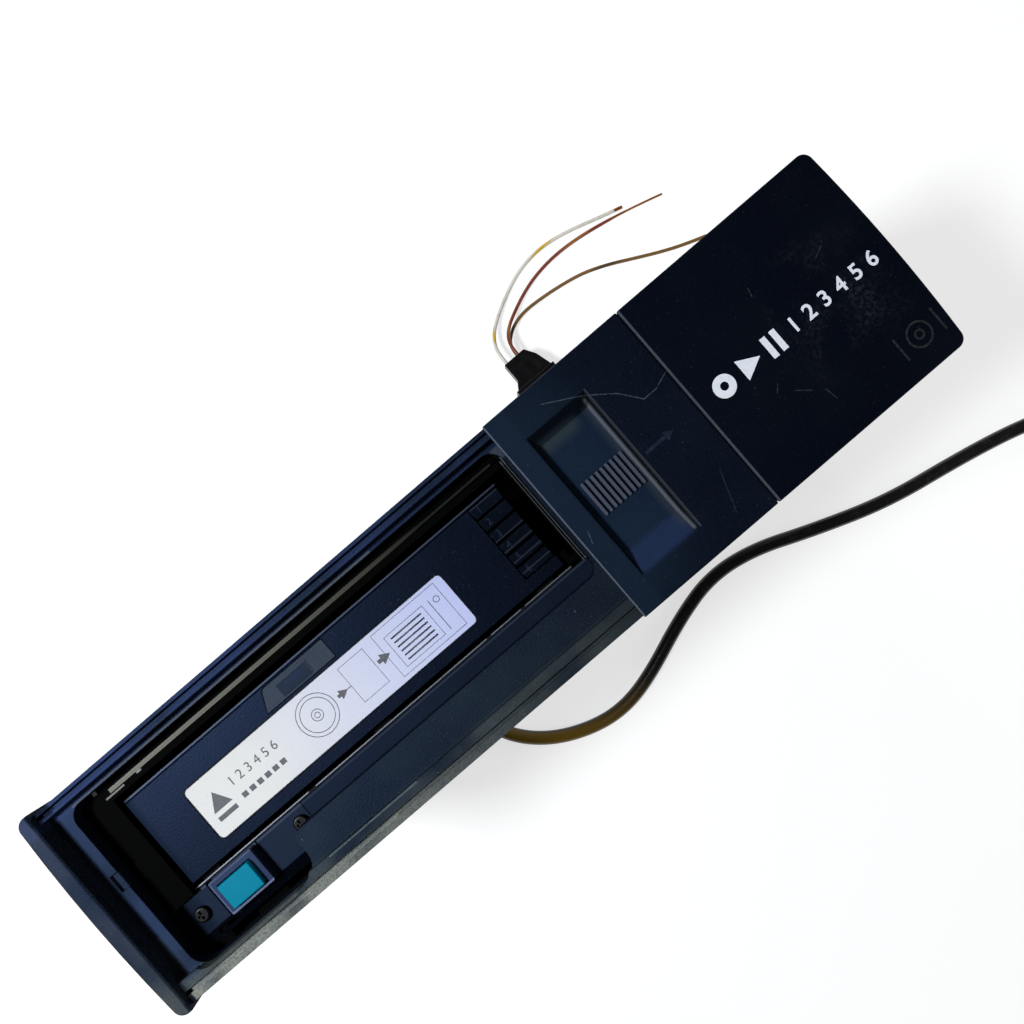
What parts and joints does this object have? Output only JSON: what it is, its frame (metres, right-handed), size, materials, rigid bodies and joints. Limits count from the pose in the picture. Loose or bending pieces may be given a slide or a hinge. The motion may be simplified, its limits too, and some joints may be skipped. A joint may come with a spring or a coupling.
{
  "type": "car cd changer",
  "caption": "Slim box for a boot or glove box with a sliding front door, a pull-out magazine of disc trays, an eject button and a disc player inside.",
  "frame": {"origin": "centre of the rear panel's footprint, on the surface that the changer stands on", "axes": "+Z out of the front face (up as it stands), +X along the front from the end lip to the printed panel, +Y towards the top cover"},
  "size_m": [0.4044, 0.2175, 0.187],
  "materials": {
    "black_plastic": "fine spark-eroded grain, satin",
    "gloss_black": "smooth moulded, glossy",
    "teal_plastic": "satin",
    "label_white": "printed film, satin",
    "zinc_steel": "zinc-plated sheet",
    "dark_steel": "black-passivated sheet",
    "bright_steel": "ground and polished",
    "screw_black": "black-plated",
    "rubber": "soft, dull",
    "cable_jacket": "extruded PVC, semi-gloss",
    "wire_white": "PVC, white with yellow tracer",
    "wire_red": "PVC, red-brown",
    "wire_brown": "PVC, brown",
    "board_green": "solder resist",
    "nylon": "natural nylon",
    "optics": "polished lens"
  },
  "bodies": {
    "chassis": {"front_fascia": "black_plastic", "front_panel": "black_plastic", "bottom_casing": "zinc_steel", "top_cover": "zinc_steel", "rear_panel": "zinc_steel", "pan_screws": "screw_black", "clinch_nuts": "zinc_steel", "bay_frame": "gloss_black", "bay_floor": "zinc_steel", "loader_plate": "dark_steel", "eject_bezel": "gloss_black", "loader_base": "black_plastic", "eject_spring": "bright_steel", "mech_frame": "zinc_steel", "lift_posts": "bright_steel", "isolators": "rubber", "suspension_springs": "bright_steel", "deck_motor": "zinc_steel", "clamp_motor": "zinc_steel", "main_board": "board_green", "board_parts": "gloss_black", "cable_gland": "rubber", "signal_cable": "cable_jacket", "cable_plug": "black_plastic", "side_socket": "black_plastic", "wire_plug": "black_plastic", "wire_white": "wire_white", "wire_red": "wire_red", "wire_brown": "wire_brown"},
    "door_rear": {"door_rear_leaf": "black_plastic"},
    "door_grip": {"door_grip_leaf": "black_plastic"},
    "magazine": {"magazine_case": "gloss_black", "magazine_lid": "gloss_black", "magazine_label": "label_white"},
    "catch": {"magazine_catch": "gloss_black"},
    "button": {"eject_button": "teal_plastic"},
    "lever": {"eject_lever": "nylon"},
    "deck": {"deck_plate": "zinc_steel", "spindle_motor": "zinc_steel", "guide_rods": "bright_steel", "sled_motor": "zinc_steel"},
    "turntable": {"turntable": "nylon"},
    "sled": {"laser_sled": "gloss_black", "sled_lens": "optics"},
    "sled_screw": {"lead_screw": "bright_steel"},
    "clamp": {"clamp_plate": "zinc_steel"},
    "puck": {"clamp_puck": "nylon"},
    "deck_cam": {"deck_cam": "nylon"},
    "deck_screw": {"deck_screw": "bright_steel"},
    "clamp_cam": {"clamp_cam": "nylon"},
    "clamp_screw": {"clamp_screw": "bright_steel"},
    "dial_left": {"angle_dial_left": "nylon"},
    "dial_right": {"angle_dial_right": "nylon"},
    "tray_1": {"disc_tray_1": "gloss_black"},
    "tray_2": {"disc_tray_2": "gloss_black"},
    "tray_3": {"disc_tray_3": "gloss_black"},
    "tray_4": {"disc_tray_4": "gloss_black"},
    "tray_5": {"disc_tray_5": "gloss_black"},
    "tray_6": {"disc_tray_6": "gloss_black"}
  },
  "joints": [
    {"name": "door_rear_slide", "type": "slide", "parent": "chassis", "child": "door_rear", "axis": [1, 0, 0], "range_m": [-0.058, 0]},
    {"name": "door_grip_slide", "type": "slide", "parent": "door_rear", "child": "door_grip", "axis": [1, 0, 0], "range_m": [-0.1016, 0]},
    {"name": "magazine_slide", "type": "slide", "parent": "chassis", "child": "magazine", "axis": [0, 0, 1], "range_m": [0, 0.15]},
    {"name": "catch_press", "type": "slide", "parent": "magazine", "child": "catch", "axis": [0, 0, -1], "range_m": [0, 0.0015], "stiffness_N_per_m": 300, "springref_m": -0.001},
    {"name": "tray_1_slide", "type": "slide", "parent": "magazine", "child": "tray_1", "axis": [1, 0, 0], "range_m": [0, 0.112]},
    {"name": "tray_2_slide", "type": "slide", "parent": "magazine", "child": "tray_2", "axis": [1, 0, 0], "range_m": [0, 0.112]},
    {"name": "tray_3_slide", "type": "slide", "parent": "magazine", "child": "tray_3", "axis": [1, 0, 0], "range_m": [0, 0.112]},
    {"name": "tray_4_slide", "type": "slide", "parent": "magazine", "child": "tray_4", "axis": [1, 0, 0], "range_m": [0, 0.112]},
    {"name": "tray_5_slide", "type": "slide", "parent": "magazine", "child": "tray_5", "axis": [1, 0, 0], "range_m": [0, 0.112]},
    {"name": "tray_6_slide", "type": "slide", "parent": "magazine", "child": "tray_6", "axis": [1, 0, 0], "range_m": [0, 0.112]},
    {"name": "button_press", "type": "slide", "parent": "chassis", "child": "button", "axis": [0, 0, -1], "range_m": [0, 0.0025], "stiffness_N_per_m": 400, "springref_m": -0.001, "deforming": ["eject_spring"]},
    {"name": "lever_turn", "type": "hinge", "parent": "chassis", "child": "lever", "pos_m": [-0.1075, -0.0265, 0.153], "axis": [-1, 0, 0], "range_deg": [0, 16]},
    {"name": "deck_lift", "type": "slide", "parent": "chassis", "child": "deck", "axis": [0, -1, 0], "range_m": [-0.0315, 0]},
    {"name": "turntable_spin", "type": "hinge", "parent": "deck", "child": "turntable", "pos_m": [0.0645, -0.0261, 0.10425], "axis": [0, 1, 0], "continuous": true},
    {"name": "sled_slide", "type": "slide", "parent": "deck", "child": "sled", "axis": [0, 0, -1], "range_m": [0, 0.035]},
    {"name": "sled_screw_turn", "type": "hinge", "parent": "deck", "child": "sled_screw", "pos_m": [0.0915, -0.0201, 0.0252], "axis": [0, 0, 1], "range_deg": [0, 4210]},
    {"name": "clamp_lower", "type": "slide", "parent": "chassis", "child": "clamp", "axis": [0, -1, 0], "range_m": [0, 0.0225]},
    {"name": "puck_spin", "type": "hinge", "parent": "clamp", "child": "puck", "pos_m": [0.0645, 0.0233, 0.10425], "axis": [0, 1, 0], "continuous": true},
    {"name": "deck_cam_slide", "type": "slide", "parent": "chassis", "child": "deck_cam", "axis": [1, 0, 0], "range_m": [-0.0315, 0]},
    {"name": "clamp_cam_slide", "type": "slide", "parent": "chassis", "child": "clamp_cam", "axis": [1, 0, 0], "range_m": [0, 0.0225]},
    {"name": "deck_screw_turn", "type": "hinge", "parent": "chassis", "child": "deck_screw", "pos_m": [-0.0044, -0.0182, 0.01], "axis": [1, 0, 0], "range_deg": [-2845, 0]},
    {"name": "clamp_screw_turn", "type": "hinge", "parent": "chassis", "child": "clamp_screw", "pos_m": [0.088, 0.0134, 0.01], "axis": [1, 0, 0], "range_deg": [0, 2035]},
    {"name": "dial_left_turn", "type": "hinge", "parent": "chassis", "child": "dial_left", "pos_m": [-0.137, 0, 0.118], "axis": [1, 0, 0], "range_deg": [0, 90]},
    {"name": "dial_right_turn", "type": "hinge", "parent": "chassis", "child": "dial_right", "pos_m": [0.137, 0, 0.118], "axis": [1, 0, 0], "range_deg": [0, 90]}
  ],
  "couplings": [
    {"joint": "lever_turn", "follows": "button_press", "rad_per_m": 111.11},
    {"joint": "sled_screw_turn", "follows": "sled_slide", "rad_per_m": 2094.4},
    {"joint": "deck_cam_slide", "follows": "deck_lift", "ratio": 1},
    {"joint": "deck_screw_turn", "follows": "deck_lift", "rad_per_m": 1570.8},
    {"joint": "clamp_cam_slide", "follows": "clamp_lower", "ratio": 1},
    {"joint": "clamp_screw_turn", "follows": "clamp_lower", "rad_per_m": 1570.8}
  ]
}
